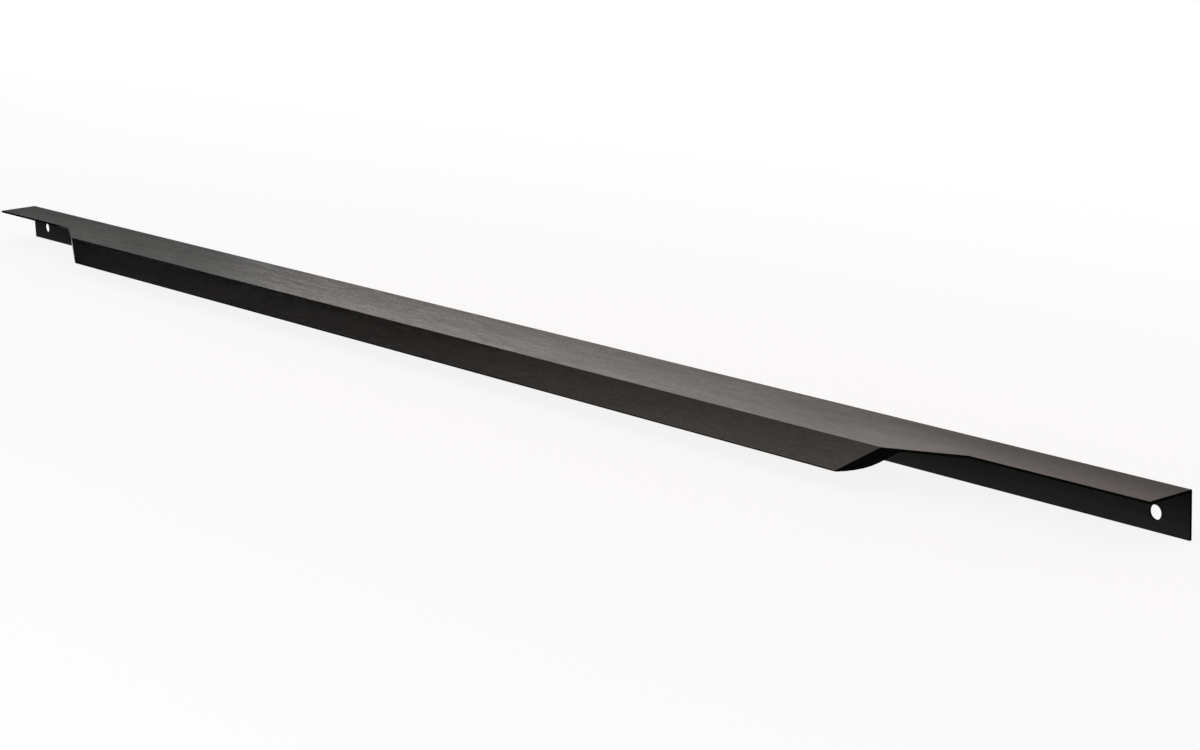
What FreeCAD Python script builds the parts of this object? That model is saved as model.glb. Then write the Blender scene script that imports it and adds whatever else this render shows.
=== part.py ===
import FreeCAD, Part
import math
import os
import Sketcher
from FreeCAD import Vector

# Handleless finger pull: one length of extruded aluminium that grips the top edge of a cabinet front.
# Frame: X runs along the profile, -Y points from the cabinet out into the room and Z points up.
# The origin is the middle of the line between the two screw holes, on the flange face that meets the front.

# Millimetres and degrees. Reaches run forward from the flange face, drops run down from the plate's top.
sizes = {
    "length": 796.0,  # the stock cut for an 800 mm wide front
    "flange_drop": 16.5,  # height of the upright flange
    "flange_thickness": 1.0,
    "plate_thickness": 1.0,
    "end_reach": 18.5,  # the plate at both ends, flush with an 18 mm front
    "end_length": 77.0,  # how far the narrow plate runs in from each end
    "flare_angle": 23.7,  # the cut from the narrow plate out to the nose, against the length
    "bend_reach": 31.0,  # where the plate turns down into the nose
    "nose_reach": 38.1,  # the nose's sharp corner, before it is rounded
    "nose_drop": 10.2,
    "nose_thickness": 2.9,
    "lip_radius": 11.5,  # the hollow side of the nose, where it runs out to the tip
    "root_radius": 1.0,  # the hollow between the plate and the nose
    "seat_radius": 0.3,  # the hollow between the flange and the plate
    "back_radius": 0.4,
    "bend_radius": 0.4,
    "tip_radius": 0.2,
    "hole_diameter": 5.0,
    "hole_drop": 10.1,  # the plate's top to the hole's centre
    "hole_inset": 14.0,  # the profile's end to the hole's centre
}

doc = FreeCAD.newDocument("finger_pull")
sheet = doc.addObject("Spreadsheet::Sheet", "Sizes")
for row, (name, value) in enumerate(sizes.items(), start=1):
    sheet.set(f"A{row}", name)
    sheet.set(f"B{row}", str(value))
    sheet.setAlias(f"B{row}", name)
doc.recompute()


def size(name):
    return float(sheet.get(name))


def origin_plane(body, role):
    return next(plane for plane in body.Origin.OriginFeatures if plane.Role == role)


def sketch_on(body, role, name):
    sketch = body.newObject("Sketcher::SketchObject", name)
    sketch.AttachmentSupport = (origin_plane(body, role), [""])
    sketch.MapMode = "FlatFace"
    return sketch


def bind(sketch, kind, places, name, formula, start):
    # a dimension of the sketch, started near its value and tied to the sheet
    sketch.addConstraint(Sketcher.Constraint(kind, *places, start))
    index = sketch.ConstraintCount - 1
    sketch.renameConstraint(index, name)
    sketch.setExpression(f"Constraints[{index}]", formula)


def line(start, end):
    return Part.LineSegment(start, end)


def arc(centre, radius, start, end):
    # anticlockwise from start to end, in radians
    circle = Part.Circle(centre, Vector(0, 0, 1), radius)
    return Part.ArcOfCircle(circle, start, end)


def draw_section(sketch):
    # The section, seen with the room on the left: sketch x is the row's Y and sketch y its Z.
    top = size("hole_drop")
    under = top - size("plate_thickness")
    bottom = top - size("flange_drop")
    back = size("flange_thickness")
    seat = size("seat_radius")
    root = size("root_radius")
    lip = size("lip_radius")
    wall = size("nose_thickness")
    tip = size("tip_radius")
    bend = size("bend_radius")
    corner = size("back_radius")

    bend_corner = Vector(-size("bend_reach"), top, 0)
    tip_corner = Vector(-size("nose_reach"), top - size("nose_drop"), 0)
    upward = (bend_corner - tip_corner).normalize()
    outward = Vector(-upward.y, upward.x, 0)
    slope = math.atan2(upward.y, upward.x)
    facing = math.atan2(outward.y, outward.x)
    turn = math.tan(slope / 2)

    # the lip's circle touches the inner face and runs through the sharp corner of the tip
    lip_rise = math.sqrt(lip**2 - (lip - wall) ** 2)
    lip_centre = tip_corner + upward * lip_rise + outward * (lip - wall)
    inner_end = lip_centre - outward * lip
    root_corner = inner_end + upward * ((under - inner_end.y) / upward.y)
    root_start = root_corner + Vector(root * turn, 0, 0)

    # the tip's circle touches the lip's from inside, and the outer face
    tip_rise = lip_rise - math.sqrt((lip - tip) ** 2 - (lip - wall + tip) ** 2)
    tip_centre = tip_corner + upward * tip_rise - outward * tip
    tip_meets_lip = tip_centre - lip_centre
    lip_angle = math.atan2(tip_meets_lip.y, tip_meets_lip.x)

    outline = {
        "front": line(Vector(0, bottom, 0), Vector(0, under - seat, 0)),
        "seat": arc(Vector(-seat, under - seat, 0), seat, 0, math.pi / 2),
        "under": line(Vector(-seat, under, 0), root_start),
        "root": arc(root_start - Vector(0, root, 0), root, math.pi / 2, facing),
        "inner": line(root_corner - upward * (root * turn), inner_end),
        "lip": arc(lip_centre, lip, lip_angle, facing - math.pi),
        "tip": arc(tip_centre, tip, facing, lip_angle + 2 * math.pi),
        "outer": line(tip_corner + upward * tip_rise, bend_corner - upward * (bend * turn)),
        "bend": arc(bend_corner + Vector(bend * turn, -bend, 0), bend, math.pi / 2, facing),
        "top": line(bend_corner + Vector(bend * turn, 0, 0), Vector(back - corner, top, 0)),
        "corner": arc(Vector(back - corner, top - corner, 0), corner, 0, math.pi / 2),
        "back": line(Vector(back, top - corner, 0), Vector(back, bottom, 0)),
        "bottom": line(Vector(back, bottom, 0), Vector(0, bottom, 0)),
    }
    edge = {name: sketch.addGeometry(shape, False) for name, shape in outline.items()}
    sharp_bend = sketch.addGeometry(Part.Point(bend_corner), True)
    sharp_tip = sketch.addGeometry(Part.Point(tip_corner), True)

    # each pair meets smoothly; 1 is an edge's start and 2 its end
    smooth = [
        ("front", 2, "seat", 1), ("seat", 2, "under", 1), ("under", 2, "root", 1), ("root", 2, "inner", 1),
        ("inner", 2, "lip", 2), ("lip", 1, "tip", 2), ("tip", 1, "outer", 1), ("outer", 2, "bend", 2),
        ("bend", 1, "top", 1), ("top", 2, "corner", 2), ("corner", 1, "back", 1),
    ]
    for first, first_end, second, second_end in smooth:
        sketch.addConstraint(Sketcher.Constraint("Tangent", edge[first], first_end, edge[second], second_end))
    sketch.addConstraint(Sketcher.Constraint("Coincident", edge["back"], 2, edge["bottom"], 1))
    sketch.addConstraint(Sketcher.Constraint("Coincident", edge["bottom"], 2, edge["front"], 1))
    for name in ("front", "back"):
        sketch.addConstraint(Sketcher.Constraint("Vertical", edge[name]))
    for name in ("bottom", "under", "top"):
        sketch.addConstraint(Sketcher.Constraint("Horizontal", edge[name]))
    sketch.addConstraint(Sketcher.Constraint("Parallel", edge["inner"], edge["outer"]))
    sketch.addConstraint(Sketcher.Constraint("PointOnObject", edge["front"], 1, -2))
    sketch.addConstraint(Sketcher.Constraint("PointOnObject", sharp_bend, 1, edge["outer"]))
    sketch.addConstraint(Sketcher.Constraint("PointOnObject", sharp_bend, 1, edge["top"]))
    sketch.addConstraint(Sketcher.Constraint("PointOnObject", sharp_tip, 1, edge["outer"]))
    sketch.addConstraint(Sketcher.Constraint("PointOnObject", sharp_tip, 1, edge["lip"]))

    bind(sketch, "DistanceY", (-1, 1, edge["top"], 1), "top", "Sizes.hole_drop", top)
    bind(sketch, "DistanceY", (edge["bottom"], 1, edge["top"], 1), "flange", "Sizes.flange_drop", top - bottom)
    bind(sketch, "DistanceY", (edge["under"], 1, edge["top"], 1), "plate", "Sizes.plate_thickness", top - under)
    bind(sketch, "DistanceX", (-1, 1, edge["back"], 2), "flange_wall", "Sizes.flange_thickness", back)
    bind(sketch, "DistanceX", (sharp_bend, 1, -1, 1), "bend_reach", "Sizes.bend_reach", -bend_corner.x)
    bind(sketch, "DistanceX", (sharp_tip, 1, -1, 1), "nose_reach", "Sizes.nose_reach", -tip_corner.x)
    bind(sketch, "DistanceY", (sharp_tip, 1, edge["top"], 1), "nose_drop", "Sizes.nose_drop", top - tip_corner.y)
    bind(sketch, "Distance", (edge["inner"], 2, edge["outer"]), "nose_wall", "Sizes.nose_thickness", wall)
    bind(sketch, "Radius", (edge["seat"],), "seat_radius", "Sizes.seat_radius", seat)
    bind(sketch, "Radius", (edge["root"],), "root_radius", "Sizes.root_radius", root)
    bind(sketch, "Radius", (edge["lip"],), "lip_radius", "Sizes.lip_radius", lip)
    bind(sketch, "Radius", (edge["tip"],), "tip_radius", "Sizes.tip_radius", tip)
    bind(sketch, "Radius", (edge["bend"],), "bend_radius", "Sizes.bend_radius", bend)
    bind(sketch, "Radius", (edge["corner"],), "back_radius", "Sizes.back_radius", corner)


def draw_end_cut(sketch):
    # What is milled away at the +X end, seen from above: all in front of the narrow plate and past the flare.
    # The outline runs past the stock by as much again as the nose reaches forward.
    corner = Vector(size("length") / 2 - size("end_length"), -size("end_reach"), 0)
    right = size("length") / 2 + size("nose_reach")
    front = -2 * size("nose_reach")
    slant = math.radians(size("flare_angle"))
    flare_foot = Vector(corner.x - (corner.y - front) / math.tan(slant), front, 0)

    edge = {
        "plate_front": sketch.addGeometry(line(corner, Vector(right, corner.y, 0)), False),
        "right": sketch.addGeometry(line(Vector(right, corner.y, 0), Vector(right, front, 0)), False),
        "front": sketch.addGeometry(line(Vector(right, front, 0), flare_foot), False),
        "flare": sketch.addGeometry(line(flare_foot, corner), False),
    }
    order = list(edge)
    for first, second in zip(order, order[1:] + order[:1]):
        sketch.addConstraint(Sketcher.Constraint("Coincident", edge[first], 2, edge[second], 1))
    sketch.addConstraint(Sketcher.Constraint("Horizontal", edge["plate_front"]))
    sketch.addConstraint(Sketcher.Constraint("Vertical", edge["right"]))
    sketch.addConstraint(Sketcher.Constraint("Horizontal", edge["front"]))

    bind(sketch, "DistanceX", (-1, 1, edge["flare"], 2), "flare_start",
         "Sizes.length / 2 - Sizes.end_length", corner.x)
    bind(sketch, "DistanceY", (edge["flare"], 2, -1, 1), "end_reach", "Sizes.end_reach", -corner.y)
    bind(sketch, "DistanceX", (-1, 1, edge["right"], 1), "past_end",
         "Sizes.length / 2 + Sizes.nose_reach", right)
    bind(sketch, "DistanceY", (edge["front"], 1, -1, 1), "past_nose", "2 * Sizes.nose_reach", -front)
    bind(sketch, "Angle", (-1, edge["flare"]), "flare_angle", "Sizes.flare_angle * 1 deg", slant)


def draw_screw_hole(sketch):
    # The +X screw hole, seen from behind the flange's face; its height is the frame's zero.
    centre = Vector(size("length") / 2 - size("hole_inset"), 0, 0)
    radius = size("hole_diameter") / 2
    circle = sketch.addGeometry(Part.Circle(centre, Vector(0, 0, 1), radius), False)
    sketch.addConstraint(Sketcher.Constraint("PointOnObject", circle, 3, -1))
    bind(sketch, "DistanceX", (-1, 1, circle, 3), "hole_place", "Sizes.length / 2 - Sizes.hole_inset", centre.x)
    bind(sketch, "Diameter", (circle,), "hole_diameter", "Sizes.hole_diameter", 2 * radius)


def build_profile():
    body = doc.addObject("PartDesign::Body", "Profile")
    body.Label = "finger_pull_profile"

    section = sketch_on(body, "YZ_Plane", "Section")
    draw_section(section)
    stock = body.newObject("PartDesign::Pad", "Stock")
    stock.Profile = section
    stock.SideType = "Symmetric"
    stock.setExpression("Length", "Sizes.length")
    doc.recompute()
    whole = body.Shape.Volume

    end_plan = sketch_on(body, "XY_Plane", "EndPlan")
    draw_end_cut(end_plan)
    end_cut = body.newObject("PartDesign::Pocket", "EndCut")
    end_cut.Profile = end_plan
    end_cut.Type = "ThroughAll"
    end_cut.SideType = "Symmetric"
    doc.recompute()
    cut_once = body.Shape.Volume

    hole_plan = sketch_on(body, "XZ_Plane", "HolePlan")
    draw_screw_hole(hole_plan)
    doc.recompute()
    screw_hole = body.newObject("PartDesign::Hole", "ScrewHole")
    screw_hole.Profile = hole_plan
    screw_hole.ThreadType = "None"
    screw_hole.DepthType = "ThroughAll"
    screw_hole.setExpression("Diameter", "Sizes.hole_diameter")
    doc.recompute()
    drilled_once = body.Shape.Volume

    other_end = body.newObject("PartDesign::Mirrored", "OtherEnd")
    other_end.Originals = [end_cut, screw_hole]
    other_end.MirrorPlane = (origin_plane(body, "YZ_Plane"), [""])
    body.Tip = other_end
    doc.recompute()
    finished = body.Shape.Volume

    hole_volume = math.pi * (size("hole_diameter") / 2) ** 2 * size("flange_thickness")
    print(f"stock {whole:.1f}, one end cut {cut_once:.1f}, drilled {drilled_once:.1f}, finished {finished:.1f} mm3")
    if not math.isclose(cut_once - drilled_once, hole_volume, rel_tol=1e-3):
        raise SystemExit("the screw hole isn't one clean hole through the flange")
    if not math.isclose(whole - finished, 2 * (whole - drilled_once), rel_tol=1e-6):
        raise SystemExit("the two ends aren't alike")
    return body


def check(parts):
    for item in doc.Objects:
        if "Invalid" in item.State or "Error" in item.State:
            raise SystemExit(f"{item.Name} failed: {item.State}")
        if item.isDerivedFrom("Sketcher::SketchObject") and not item.FullyConstrained:
            raise SystemExit(f"{item.Name} isn't fully constrained")
    for part in parts:
        if part.Shape.isNull() or not part.Shape.isValid() or len(part.Shape.Solids) != 1:
            raise SystemExit(f"{part.Label} isn't one valid solid")


parts = [build_profile()]
check(parts)
os.makedirs("parts", exist_ok=True)
for part in parts:
    box = part.Shape.BoundBox
    print(f"{part.Label}: {box.XLength:.2f} x {box.YLength:.2f} x {box.ZLength:.2f} mm, {part.Shape.Volume:.1f} mm3")
    part.Shape.exportStep(f"parts/{part.Label}.step")
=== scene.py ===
import math

import bmesh
import bpy
from mathutils import Euler, Matrix, Vector


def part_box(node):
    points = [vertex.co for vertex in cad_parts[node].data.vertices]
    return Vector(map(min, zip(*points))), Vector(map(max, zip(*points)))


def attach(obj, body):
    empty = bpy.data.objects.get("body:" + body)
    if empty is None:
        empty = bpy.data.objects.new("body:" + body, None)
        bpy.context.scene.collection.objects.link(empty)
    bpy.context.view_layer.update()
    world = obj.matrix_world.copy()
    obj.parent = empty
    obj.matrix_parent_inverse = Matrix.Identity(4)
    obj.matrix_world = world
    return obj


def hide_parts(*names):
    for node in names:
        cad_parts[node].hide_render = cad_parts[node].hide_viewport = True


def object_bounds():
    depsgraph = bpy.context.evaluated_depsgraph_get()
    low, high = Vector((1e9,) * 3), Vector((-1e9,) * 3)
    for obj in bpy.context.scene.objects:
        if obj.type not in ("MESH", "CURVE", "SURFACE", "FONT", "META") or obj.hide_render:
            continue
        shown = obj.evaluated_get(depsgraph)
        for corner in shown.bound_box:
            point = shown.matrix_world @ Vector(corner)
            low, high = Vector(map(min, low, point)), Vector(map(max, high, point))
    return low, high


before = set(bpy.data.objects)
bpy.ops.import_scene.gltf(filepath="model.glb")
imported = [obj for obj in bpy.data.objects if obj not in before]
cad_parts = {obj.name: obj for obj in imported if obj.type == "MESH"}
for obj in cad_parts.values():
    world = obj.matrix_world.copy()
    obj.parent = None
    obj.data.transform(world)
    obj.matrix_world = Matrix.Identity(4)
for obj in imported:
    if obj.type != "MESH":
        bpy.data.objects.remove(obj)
cadLow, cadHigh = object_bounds()
profileLow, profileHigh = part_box("finger_pull_profile")
mm = 0.001

# X runs along the profile, -Y points out into the room and Z is up. Zero is the middle of the line
# between the two screw holes, on the flange face that lies against the back of the cabinet front.

# The section, in mm. The length, the plate's top, the flange's bottom and its back come from the frame.
section = {
    "plate": 1.0,
    "bendReach": 31.0,  # where the plate turns down into the nose
    "noseReach": 38.1,  # the nose's sharp corner, before it is rounded
    "noseDrop": 10.2,
    "noseWall": 2.9,
    "lipRadius": 11.5,  # the hollow side of the nose
    "rootRadius": 1.0,
    "seatRadius": 0.3,
    "backRadius": 0.4,
    "bendRadius": 0.4,
    "tipRadius": 0.2,
    "brushStops": 0.25,  # the brushed face ends this far above the tip's rounding
    "arcStep": 9.0,  # degrees that a facet of a round stretch turns at most
    "arcLeast": 3,  # facets of the shortest one
}

# What is milled at each end, in mm and degrees
ends = {
    "reach": 18.5,  # how far forward the narrow plate goes
    "length": 77.0,
    "flare": 23.7,  # the slanting cut, against the length
    "holeRadius": 2.5,
    "holeInset": 14.0,
    "holePatch": 4.0,  # half the side of the square of faces round a hole
    "holeSteps": 12,  # facets in a quarter of a hole
    "brokenEdge": 0.08,  # how far the cut edges are eased
    "brokenSteps": 3,
    "sharpFrom": 35.0,  # edges that turn more than this are eased
    "oneSpot": 0.001,  # points closer than this become one
}

# Rings of points from the middle to the flare, along the flare, and from its foot to the hole
rings = {"middle": 24, "flare": 6, "end": 4}

# The finishes' places in the piece's material list; the plain one and the milled one carry painted
# shade
finishPlace = {"brushed": 0, "milled": 1, "plainAndShaded": 2}


def arcPoints(centre, radius, start, end):
    # both ends included, angles in radians
    steps = max(section["arcLeast"], math.ceil(math.degrees(abs(end - start)) / section["arcStep"]))
    turns = [start + (end - start) * i / steps for i in range(steps + 1)]
    return [centre + radius * Vector((math.cos(turn), math.sin(turn))) for turn in turns]


def noseOutline():
    # Y and Z in mm: the brushed stretch from the narrow plate's top edge forward and down the nose,
    # and the plain one round the tip and back along the underside, darkened with painted shade
    top = profileHigh.z / mm
    under = top - section["plate"]
    wall = section["noseWall"]
    lip = section["lipRadius"]
    tip = section["tipRadius"]
    root = section["rootRadius"]
    bend = section["bendRadius"]
    bendCorner = Vector((-section["bendReach"], top))
    tipCorner = Vector((-section["noseReach"], top - section["noseDrop"]))
    upward = (bendCorner - tipCorner).normalized()
    outward = Vector((-upward.y, upward.x))
    slope = math.atan2(upward.y, upward.x)
    facing = math.atan2(outward.y, outward.x)
    turn = math.tan(slope / 2)

    # the hollow's circle touches the inner face and runs out through the sharp corner of the tip
    lipRise = math.sqrt(lip**2 - (lip - wall) ** 2)
    lipCentre = tipCorner + upward * lipRise + outward * (lip - wall)
    innerEnd = lipCentre - outward * lip
    rootCorner = innerEnd + upward * ((under - innerEnd.y) / upward.y)
    rootCentre = rootCorner + Vector((root * turn, -root))

    # the tip's circle touches the hollow's from inside, and the outer face
    tipRise = lipRise - math.sqrt((lip - tip) ** 2 - (lip - wall + tip) ** 2)
    tipCentre = tipCorner + upward * tipRise - outward * tip
    tipMeetsLip = tipCentre - lipCentre
    lipAngle = math.atan2(tipMeetsLip.y, tipMeetsLip.x)
    tipRound = arcPoints(tipCentre, tip, facing, lipAngle + 2 * math.pi)

    outside = [Vector((-ends["reach"], top))]
    outside += arcPoints(bendCorner + Vector((bend * turn, -bend)), bend, math.pi / 2, facing)
    outside.append(tipRound[0] + upward * section["brushStops"])
    inside = tipRound + arcPoints(lipCentre, lip, lipAngle, facing - math.pi)[1:]
    inside += arcPoints(rootCentre, root, facing, math.pi / 2)
    inside.append(Vector((-ends["reach"], under)))
    return outside, inside


def flangeOutline():
    # goes on from the nose: back along the underside, down the flange, up its back and along the top
    top = profileHigh.z / mm
    under = top - section["plate"]
    bottom = profileLow.z / mm
    back = profileHigh.y / mm
    seat = section["seatRadius"]
    corner = section["backRadius"]
    patch = ends["holePatch"]
    inside = arcPoints(Vector((-seat, under - seat)), seat, math.pi / 2, 0)
    inside += [Vector((0, patch)), Vector((0, -patch)), Vector((0, bottom))]
    inside += [Vector((back, bottom)), Vector((back, -patch)), Vector((back, patch))]
    outside = arcPoints(Vector((back - corner, top - corner)), corner, 0, math.pi / 2)
    return inside, outside


def addRing(mesh, points, x):
    # x is one place for all the points, or a function of how far back a point lies
    place = x if callable(x) else lambda y: x
    return [mesh.verts.new(Vector((place(p.x), p.x, p.y)) * mm) for p in points]


def bridge(mesh, first, second, places):
    # joins two closed rings; each face has its finish's place
    for i, place in enumerate(places):
        j = (i + 1) % len(first)
        mesh.faces.new((first[i], first[j], second[j], second[i])).material_index = place


def drillHole(mesh, wall, centre):
    # fills the square of four corners with faces round a circle, and gives the circle's points;
    # the first corner is the low one towards -X
    steps = ends["holeSteps"]
    y = wall[0].co.y
    firstAngle = -3 * math.pi / 4
    circle = []
    for i in range(4 * steps):
        angle = firstAngle + math.tau * i / (4 * steps)
        reach = Vector((math.cos(angle), 0, math.sin(angle))) * ends["holeRadius"] * mm
        circle.append(mesh.verts.new(Vector((centre * mm, y, 0)) + reach))
    for side in range(4):
        span = [circle[(side * steps + i) % len(circle)] for i in range(steps + 1)]
        face = mesh.faces.new([wall[side], wall[(side + 1) % 4]] + span[::-1])
        face.material_index = finishPlace["plainAndShaded"]
    return circle


def buildRightHalf(mesh):
    # the half from the middle to the +X end
    noseOutside, noseInside = noseOutline()
    flangeInside, flangeOutside = flangeOutline()
    nose = noseOutside + noseInside
    flange = flangeInside + flangeOutside
    plainAndShadedFaces = len(noseInside) + len(flangeInside) + 1  # up to the rounded back corner
    places = [finishPlace["brushed"]] * (len(noseOutside) - 1)
    places += [finishPlace["plainAndShaded"]] * plainAndShadedFaces
    places += [finishPlace["brushed"]] * len(flangeOutside)
    half = profileHigh.x / mm
    foot = half - ends["length"]
    slant = math.tan(math.radians(ends["flare"]))

    def flareEnd(y):
        return min(foot, foot - (-ends["reach"] - y) / slant)

    straight = flareEnd(-section["noseReach"]) - ends["holePatch"]
    outline = nose + flange
    row = [addRing(mesh, outline, straight * k / rings["middle"]) for k in range(rings["middle"] + 1)]
    for k in range(1, rings["flare"] + 1):
        share = k / rings["flare"]
        row.append(addRing(mesh, outline, lambda y: straight + (flareEnd(y) - straight) * share))
    for first, second in zip(row, row[1:]):
        bridge(mesh, first, second, places)
    mesh.faces.new(row[-1][: len(nose)]).material_index = finishPlace["milled"]

    # past the nose only the narrow plate and the flange go on, with a cut face in front
    last = row[-1][len(nose) - 1 :] + row[-1][:1]
    narrow = [nose[-1]] + flange + [nose[0]]
    narrowPlaces = places[len(nose) - 1 :] + [finishPlace["milled"]]
    hole = half - ends["holeInset"]
    patch = ends["holePatch"]
    steps = rings["end"]
    stations = [foot + (hole - patch - foot) * k / steps for k in range(1, steps + 1)]
    stations += [hole + patch, half]
    wall = {}
    for x in stations:
        now = addRing(mesh, narrow, x)
        for i in range(len(now)):
            j = (i + 1) % len(now)
            corners = (last[i], last[j], now[j], now[i])
            atHole = x == hole + patch and abs(narrow[i].y) == patch and abs(narrow[j].y) == patch
            if atHole and narrow[i].x == narrow[j].x:
                wall[narrow[i].x] = corners
                continue
            mesh.faces.new(corners).material_index = narrowPlaces[i]
        last = now

    # the end face, in three pieces that meet at the heights of the hole's square
    atSquare = [i for i in range(len(narrow)) if abs(narrow[i].y) == patch]
    frontHigh, frontLow, backLow, backHigh = atSquare
    endFaces = [last[: frontHigh + 1] + last[backHigh:]]
    endFaces.append([last[i] for i in atSquare])
    endFaces.append(last[frontLow : backLow + 1])
    for corners in endFaces:
        mesh.faces.new(corners).material_index = finishPlace["milled"]

    circles = []
    for y in sorted(wall):
        corners = sorted(wall[y], key=lambda v: math.atan2(v.co.z, v.co.x - hole * mm))
        circles.append(drillHole(mesh, corners, hole))
    bridge(mesh, circles[0], circles[1], [finishPlace["milled"]] * len(circles[0]))


def makeProfile():
    mesh = bmesh.new()
    buildRightHalf(mesh)
    everything = mesh.verts[:] + mesh.edges[:] + mesh.faces[:]
    bmesh.ops.mirror(mesh, geom=everything, axis="X", merge_dist=ends["oneSpot"] * mm)
    bmesh.ops.recalc_face_normals(mesh, faces=mesh.faces)
    for face in mesh.faces:
        face.smooth = True
    data = bpy.data.meshes.new("fingerPullProfile")
    mesh.to_mesh(data)
    mesh.free()
    piece = bpy.data.objects.new("fingerPullProfile", data)
    bpy.context.scene.collection.objects.link(piece)
    bpy.context.view_layer.objects.active = piece

    easing = piece.modifiers.new("brokenEdges", "BEVEL")
    easing.width = ends["brokenEdge"] * mm
    easing.segments = ends["brokenSteps"]
    easing.limit_method = "ANGLE"
    easing.angle_limit = math.radians(ends["sharpFrom"])
    easing.use_clamp_overlap = False  # or small facets hold it back to almost nothing
    merging = piece.modifiers.new("pointsOnOneSpot", "WELD")
    merging.merge_threshold = ends["oneSpot"] * mm
    shading = piece.modifiers.new("flatFacesStayFlat", "WEIGHTED_NORMAL")
    shading.weight = 100  # the largest face at a point decides
    for modifier in (easing, merging, shading):
        bpy.ops.object.modifier_apply(modifier=modifier.name)
    print("profile:", len(piece.data.vertices), "points,", len(piece.data.polygons), "faces")
    return piece


noiseSpan = (0.25, 0.75)  # a noise hardly leaves these values


def newMaterial(name):
    material = bpy.data.materials.new(name)
    material.use_nodes = True
    tree = material.node_tree
    tree.nodes.clear()
    out = tree.nodes.new("ShaderNodeOutputMaterial")
    shader = tree.nodes.new("ShaderNodeBsdfPrincipled")
    tree.links.new(shader.outputs["BSDF"], out.inputs["Surface"])
    return material, tree, shader


def brushNoise(tree, coordinates, size, seed, detail):
    # noise drawn out along the profile; its size is a length and a width in mm
    length, width = size
    stretch = tree.nodes.new("ShaderNodeMapping")
    stretch.inputs["Scale"].default_value = (1 / (length * mm), 1 / (width * mm), 1 / (width * mm))
    stretch.inputs["Location"].default_value = (seed, 2 * seed, 3 * seed)
    noise = tree.nodes.new("ShaderNodeTexNoise")
    noise.inputs["Scale"].default_value = 1.0
    noise.inputs["Detail"].default_value = detail
    tree.links.new(coordinates, stretch.inputs["Vector"])
    tree.links.new(stretch.outputs["Vector"], noise.inputs["Vector"])
    return noise.outputs["Fac"]


def fade(tree, value, span, shares, kind="LINEAR"):
    # goes from one share to the other while the value crosses the span
    passing = tree.nodes.new("ShaderNodeMapRange")
    passing.interpolation_type = kind
    passing.inputs["From Min"].default_value = span[0]
    passing.inputs["From Max"].default_value = span[1]
    passing.inputs["To Min"].default_value = shares[0]
    passing.inputs["To Max"].default_value = shares[1]
    tree.links.new(value, passing.inputs["Value"])
    return passing.outputs["Result"]


def fadeAlong(tree, where, axis, span, shares):
    # the same between two places along X, Y or Z
    apart = tree.nodes.new("ShaderNodeSeparateXYZ")
    tree.links.new(where, apart.inputs["Vector"])
    return fade(tree, apart.outputs[axis], span, shares)


def weigh(tree, values):
    # adds up several values, each with its share
    total = None
    for value, share in values:
        scaled = tree.nodes.new("ShaderNodeMath")
        scaled.operation = "MULTIPLY_ADD"
        scaled.inputs[1].default_value = share
        tree.links.new(value, scaled.inputs[0])
        if total is None:
            scaled.inputs[2].default_value = 0.0
        else:
            tree.links.new(total, scaled.inputs[2])
        total = scaled.outputs["Value"]
    return total


def multiply(tree, first, second, plus=0.0):
    product = tree.nodes.new("ShaderNodeMath")
    product.operation = "MULTIPLY_ADD"
    tree.links.new(first, product.inputs[0])
    tree.links.new(second, product.inputs[1])
    product.inputs[2].default_value = plus
    return product.outputs["Value"]


def larger(tree, first, second):
    most = tree.nodes.new("ShaderNodeMath")
    most.operation = "MAXIMUM"
    tree.links.new(first, most.inputs[0])
    tree.links.new(second, most.inputs[1])
    return most.outputs["Value"]


def shade(tree, colour, share):
    # the colour, darker under a share of 1 and lighter over it
    scaled = tree.nodes.new("ShaderNodeVectorMath")
    scaled.operation = "SCALE"
    scaled.inputs["Vector"].default_value = colour
    tree.links.new(share, scaled.inputs["Scale"])
    return scaled.outputs["Vector"]


# Black anodising. The outside is brushed along the length first.
brushed = {
    "colour": (0.0305, 0.0308, 0.0303),
    "paintedLightBelow": 2.15,  # painted light: the colour at the flange's bottom is this much paler than at the plate's top
    "edgeTint": (1.0, 1.0, 1.0),  # how much it mirrors at a grazing look
    "anisotropy": 0.8,
    "roughness": 0.437,  # at the back edge
    "closer": 0.10,  # how much less rough it is at the bend, where the brush works closer
    "endsCloser": 0.09,  # and less again along the front of the two narrow ends
    "nose": 0.04,  # how much rougher it gets down the nose
    "uneven": 0.31,  # how far the lines' roughness swings, from least to most
    "calmer": 0.4,  # the share of that swing down the nose
    "alongLength": (1.9, 0.4),  # and its share at the -X end and at the +X end
    "tones": (0.3, 0.44),  # how far the lines' colour swings, on the top and down the nose
    "fine": (2.5, 0.35),  # length and width of the lines, mm
    "middle": (8.0, 0.8),
    "broad": (45.0, 4.0),
    "depth": 0.006,  # of the lines, mm
}

# The inside, the underside and the flange keep the die's faint lines. Their colour, far darker
# than the brushed outside's, is painted shade under the plate
plainAndShaded = {
    "colour": (0.0046, 0.0045, 0.0043),
    # painted light: paler again towards the flange's bottom
    "paintedLightBelow": 3.8,
    "edgeTint": (0.52, 0.52, 0.52),
    "anisotropy": 0.5,
    "roughness": 0.36,
    "closer": 0.0,
    "endsCloser": 0.0,
    "nose": 0.0,
    "uneven": 0.08,
    "calmer": 1.0,
    "alongLength": (1.0, 1.0),
    "tones": (0.25, 0.25),
    "fine": (40.0, 0.35),
    "middle": (160.0, 1.6),
    "broad": (500.0, 7.0),
    "depth": 0.001,
}

# What both finishes share. Three values are for the fine, the middle and the broad lines.
drawn = {
    "seeds": (1.7, 5.3, 9.1),
    "detail": (2.0, 2.0, 1.0),
    "shares": (0.5, 0.35, 0.15),
    "relief": (0.5, 0.5),  # the broad ones have none
    "noseFade": 3.0,  # mm below the top, where the nose's own values are reached
    "endsFade": (255.0, 305.0),  # mm from the middle: the ends' own gloss begins, and is reached
    "frontFade": 3.0,  # mm in front of the flange, where that gloss begins
}


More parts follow.
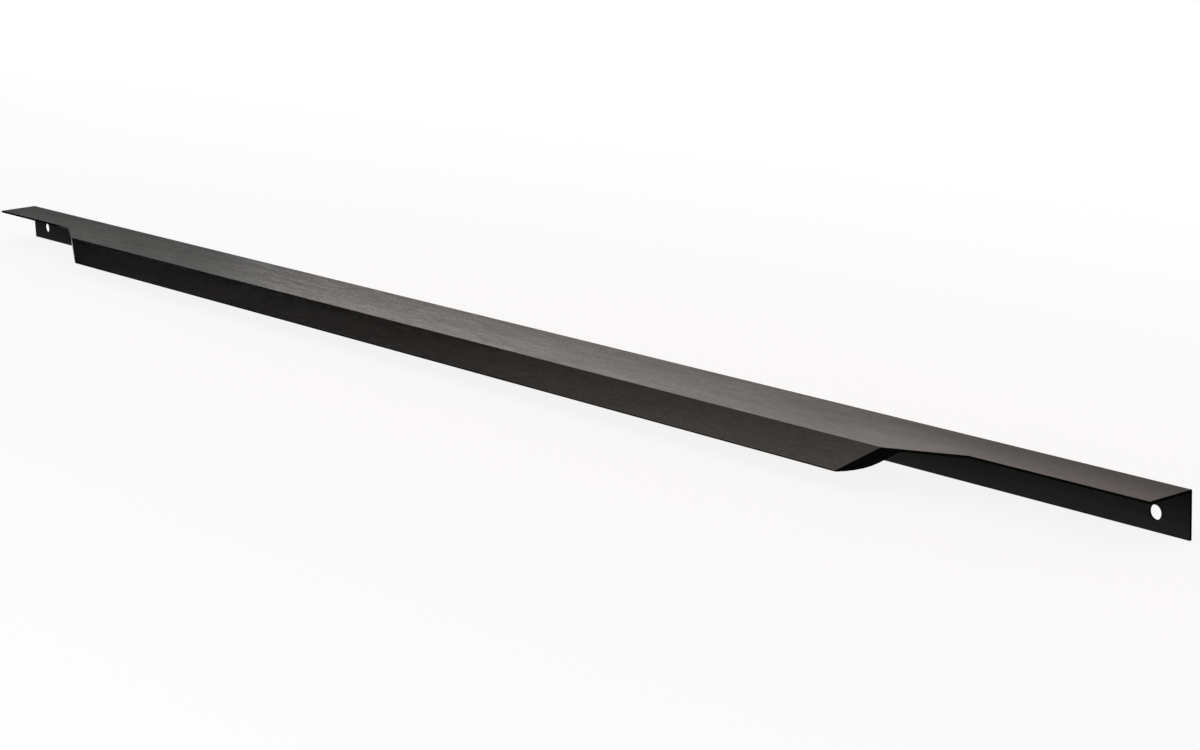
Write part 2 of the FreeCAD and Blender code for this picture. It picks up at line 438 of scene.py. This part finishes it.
def frontOfEnds(tree, where, most):
    # grows from the back to the front edge, and only near the two ends
    mirrored = tree.nodes.new("ShaderNodeVectorMath")
    mirrored.operation = "ABSOLUTE"
    tree.links.new(where, mirrored.inputs[0])
    nearEnds = [place * mm for place in drawn["endsFade"]]
    atEnds = fadeAlong(tree, mirrored.outputs["Vector"], "X", nearEnds, (0.0, 1.0))
    forward = (-drawn["frontFade"] * mm, -ends["reach"] * mm)
    return multiply(tree, atEnds, fadeAlong(tree, where, "Y", forward, (0.0, most)))


def makeDrawnMaterial(name, finish):
    # lines along the length, from the brush or from the die
    material, tree, shader = newMaterial(name)
    where = tree.nodes.new("ShaderNodeTexCoord").outputs["Object"]
    noises = []
    for size, seed, detail in zip(("fine", "middle", "broad"), drawn["seeds"], drawn["detail"]):
        noises.append(brushNoise(tree, where, finish[size], seed, detail))
    lines = fade(tree, weigh(tree, zip(noises, drawn["shares"])), noiseSpan, (-1.0, 1.0))
    overNose = (profileHigh.z, profileHigh.z - drawn["noseFade"] * mm)

    # painted light: the colour grows paler from the plate's top down to the flange's bottom
    paintedLightBelow = fadeAlong(tree, where, "Z", (profileHigh.z, profileLow.z), (1.0, finish["paintedLightBelow"]))
    tone = multiply(tree, lines, fadeAlong(tree, where, "Z", overNose, finish["tones"]), plus=1.0)
    colour = shade(tree, finish["colour"], multiply(tree, tone, paintedLightBelow))
    tree.links.new(colour, shader.inputs["Base Color"])

    rough = finish["roughness"]
    even = fadeAlong(tree, where, "Z", overNose, (rough, rough + finish["nose"]))
    toBend = (profileHigh.y, -section["bendReach"] * mm)
    closer = fadeAlong(tree, where, "Y", toBend, (0.0, -finish["closer"]))
    closerEnds = frontOfEnds(tree, where, -finish["endsCloser"])
    half = finish["uneven"] / 2
    swing = fadeAlong(tree, where, "Z", overNose, (half, half * finish["calmer"]))
    wholeLength = (profileLow.x, profileHigh.x)
    swing = multiply(tree, swing, fadeAlong(tree, where, "X", wholeLength, finish["alongLength"]))
    uneven = multiply(tree, lines, swing)
    parts = ((even, 1.0), (closer, 1.0), (closerEnds, 1.0), (uneven, 1.0))
    tree.links.new(weigh(tree, parts), shader.inputs["Roughness"])

    relief = tree.nodes.new("ShaderNodeBump")
    relief.inputs["Strength"].default_value = 1.0
    relief.inputs["Distance"].default_value = finish["depth"] * mm
    tree.links.new(weigh(tree, zip(noises, drawn["relief"])), relief.inputs["Height"])
    tree.links.new(relief.outputs["Normal"], shader.inputs["Normal"])

    across = tree.nodes.new("ShaderNodeTangent")  # the gloss spreads across the lines
    across.direction_type = "RADIAL"
    across.axis = "X"
    tree.links.new(across.outputs["Tangent"], shader.inputs["Tangent"])
    shader.inputs["Metallic"].default_value = 1.0
    shader.inputs["Anisotropic"].default_value = finish["anisotropy"]
    shader.inputs["Specular Tint"].default_value = (*finish["edgeTint"], 1.0)
    return material


# The milled ends and the holes: not brushed. Their near-black colour is painted shade
milled = {
    "colour": (0.0025, 0.0024, 0.0024),
    "tones": (0.8, 1.2),
    "edgeTint": (0.45, 0.45, 0.45),
    "roughness": (0.13, 0.19),
    "grain": (0.35, 0.35),  # length and width, mm
    "seed": 3.9,
    "detail": 3.0,
}


def makeMilledAndShadedMaterial():
    material, tree, shader = newMaterial("blackAnodisedMilledAndShaded")
    where = tree.nodes.new("ShaderNodeTexCoord").outputs["Object"]
    grain = brushNoise(tree, where, milled["grain"], milled["seed"], milled["detail"])
    tone = fade(tree, grain, noiseSpan, milled["tones"])
    tree.links.new(shade(tree, milled["colour"], tone), shader.inputs["Base Color"])
    tree.links.new(fade(tree, grain, noiseSpan, milled["roughness"]), shader.inputs["Roughness"])
    shader.inputs["Metallic"].default_value = 1.0
    shader.inputs["Specular Tint"].default_value = (*milled["edgeTint"], 1.0)
    return material


piece = makeProfile()
piece.data.materials.append(makeDrawnMaterial("blackAnodisedBrushed", brushed))
piece.data.materials.append(makeMilledAndShadedMaterial())
piece.data.materials.append(makeDrawnMaterial("blackAnodisedPlainAndShaded", plainAndShaded))
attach(piece, "root")
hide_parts("finger_pull_profile")
print("finish: brushed, plain and milled black anodising")


def addPlane(name, corners, material):
    data = bpy.data.meshes.new(name)
    data.from_pydata(corners, [], [(0, 1, 2, 3)])
    data.materials.append(material)
    plane = bpy.data.objects.new(name, data)
    bpy.context.scene.collection.objects.link(plane)
    return plane


# The floor it stands on: pale, with the shadow kept. It is whitened for the camera, and for gloss,
# more the further it lies from the profile.
floorSet = {
    "half": 200.0,  # metres
    "colour": (0.86, 0.86, 0.86),
    "seenWhite": (0.88, 1.0),  # the white's share beside the profile and far out
    "seenFrom": (0.06, 0.5),  # metres from the profile's line
    "glossWhite": (0.85, 1.0),
    "glossFrom": (0.3, 1.2),
    "endsCount": 0.25,  # how much a distance along the profile counts
}


def makeFloorMaterial():
    material = bpy.data.materials.new("paleFloor")
    material.use_nodes = True
    tree = material.node_tree
    tree.nodes.clear()
    out = tree.nodes.new("ShaderNodeOutputMaterial")
    paper = tree.nodes.new("ShaderNodeBsdfDiffuse")
    paper.inputs["Color"].default_value = (*floorSet["colour"], 1.0)
    white = tree.nodes.new("ShaderNodeEmission")
    ray = tree.nodes.new("ShaderNodeLightPath")

    # how far a spot lies from the profile's line
    flat = tree.nodes.new("ShaderNodeVectorMath")
    flat.operation = "MULTIPLY"
    flat.inputs[1].default_value = (floorSet["endsCount"], 1.0, 0.0)
    tree.links.new(tree.nodes.new("ShaderNodeTexCoord").outputs["Object"], flat.inputs[0])
    length = tree.nodes.new("ShaderNodeVectorMath")
    length.operation = "LENGTH"
    tree.links.new(flat.outputs["Vector"], length.inputs[0])
    away = length.outputs["Value"]

    gloss = larger(tree, ray.outputs["Is Glossy Ray"], ray.outputs["Is Transmission Ray"])
    glossWhite = fade(tree, away, floorSet["glossFrom"], floorSet["glossWhite"], "SMOOTHSTEP")
    seenWhite = fade(tree, away, floorSet["seenFrom"], floorSet["seenWhite"], "SMOOTHSTEP")
    glossShare = multiply(tree, glossWhite, gloss)
    seenShare = multiply(tree, seenWhite, ray.outputs["Is Camera Ray"])
    mix = tree.nodes.new("ShaderNodeMixShader")
    tree.links.new(larger(tree, glossShare, seenShare), mix.inputs["Fac"])
    tree.links.new(paper.outputs["BSDF"], mix.inputs[1])
    tree.links.new(white.outputs["Emission"], mix.inputs[2])
    tree.links.new(mix.outputs["Shader"], out.inputs["Surface"])
    return material


def makeFloor():
    half = floorSet["half"]
    z = cadLow.z
    corners = [(-half, -half, z), (half, -half, z), (half, half, z), (-half, half, z)]
    addPlane("studioFloor", corners, makeFloorMaterial())


# A pale room, white where it meets the floor
room = {
    "colour": (0.69, 0.570, 0.518),
    "whiteUpTo": (8.0, 13.0),  # degrees over the floor: all white under the first, none over the second
}


def makeRoom():
    world = bpy.data.worlds.new("studioRoom")
    bpy.context.scene.world = world
    world.use_nodes = True
    tree = world.node_tree
    ray = tree.nodes.new("ShaderNodeLightPath")
    looks = larger(tree, ray.outputs["Is Glossy Ray"], ray.outputs["Is Transmission Ray"])
    looks = larger(tree, looks, ray.outputs["Is Camera Ray"])
    direction = tree.nodes.new("ShaderNodeTexCoord").outputs["Generated"]
    heights = [math.sin(math.radians(angle)) for angle in room["whiteUpTo"]]
    lowDown = fadeAlong(tree, direction, "Z", heights, (1.0, 0.0))
    white = tree.nodes.new("ShaderNodeMix")
    white.data_type = "RGBA"
    white.inputs["A"].default_value = (*room["colour"], 1.0)
    white.inputs["B"].default_value = (1.0, 1.0, 1.0, 1.0)
    tree.links.new(multiply(tree, looks, lowDown), white.inputs["Factor"])
    air = tree.nodes["Background"]
    air.inputs["Strength"].default_value = 1.0
    tree.links.new(white.outputs["Result"], air.inputs["Color"])


# A dark card that stands past the -X end, in metres
darkCard = {
    "x": -1.0,
    "y": (-0.68, 0.48),
    "height": 0.88,
    "colour": (0.03, 0.03, 0.03),
}


def makeDarkCard():
    material = bpy.data.materials.new("darkCard")
    material.use_nodes = True
    paint = material.node_tree.nodes["Principled BSDF"]
    paint.inputs["Base Color"].default_value = (*darkCard["colour"], 1.0)
    paint.inputs["Roughness"].default_value = 1.0
    paint.inputs["Specular IOR Level"].default_value = 0.0
    x = darkCard["x"]
    front, back = darkCard["y"]
    z = cadLow.z
    top = z + darkCard["height"]
    corners = [(x, front, z), (x, back, z), (x, back, top), (x, front, top)]
    card = addPlane("darkCard", corners, material)
    card.visible_camera = False  # it is only there to be mirrored


# Two softboxes, turned from -X towards +Y and raised, in degrees. How far away they are, their width
# and their height are in metres. A brightness of 1 is white.
softboxes = {
    "behind": {
        "turn": 26.6,
        "raised": 32.7,
        "away": 0.87,
        "size": (0.88, 0.78),
        "bright": 0.55,
        "colour": (1.0, 1.0, 0.97),
    },
    "front": {
        "turn": -62.2,
        "raised": 32.9,
        "away": 1.5,
        "size": (1.30, 0.91),
        "bright": 0.77,
        "colour": (1.12, 1.0, 0.94),
    },
}


def makeSoftbox(name):
    box = softboxes[name]
    turn = math.radians(box["turn"])
    raised = math.radians(box["raised"])
    level = math.cos(raised)
    outward = Vector((-math.cos(turn) * level, math.sin(turn) * level, math.sin(raised)))
    data = bpy.data.lights.new(name + "Softbox", "AREA")
    data.shape = "RECTANGLE"
    data.size, data.size_y = box["size"]
    data.color = box["colour"]
    data.energy = box["bright"] * math.pi * data.size * data.size_y
    lamp = bpy.data.objects.new(name + "Softbox", data)
    lamp.location = outward * box["away"]
    lamp.rotation_euler = outward.to_track_quat("Z", "Y").to_euler()
    lamp.visible_camera = False
    bpy.context.scene.collection.objects.link(lamp)


makeFloor()
makeRoom()
makeDarkCard()
for name in softboxes:
    makeSoftbox(name)
print("floor, room, card and lamps")


# The photograph's camera: place in metres, angles in degrees, lens and film in mm
photoCamera = {
    "place": (0.93113, -0.63080, 0.24273),
    "turn": 52.8413,
    "down": 13.1965,
    "roll": -2.2214,
    "lens": 81.405,
    "film": 36.0,
    "sight": (0.01, 1000.0),  # the nearest and the furthest that it sees, in metres
}


def makeCamera():
    data = bpy.data.cameras.new("photoCamera")
    data.lens = photoCamera["lens"]
    data.sensor_width = photoCamera["film"]
    data.sensor_fit = "HORIZONTAL"
    data.clip_start, data.clip_end = photoCamera["sight"]
    camera = bpy.data.objects.new("photoCamera", data)
    bpy.context.scene.collection.objects.link(camera)
    tilt = math.radians(90 - photoCamera["down"])
    turned = Euler((tilt, 0, math.radians(photoCamera["turn"]))).to_matrix()
    rolled = Matrix.Rotation(math.radians(photoCamera["roll"]), 3, "Z")
    camera.matrix_world = Matrix.Translation(photoCamera["place"]) @ (turned @ rolled).to_4x4()
    bpy.context.scene.camera = camera


makeCamera()
bpy.context.scene.view_settings.view_transform = "Standard"
print("camera")
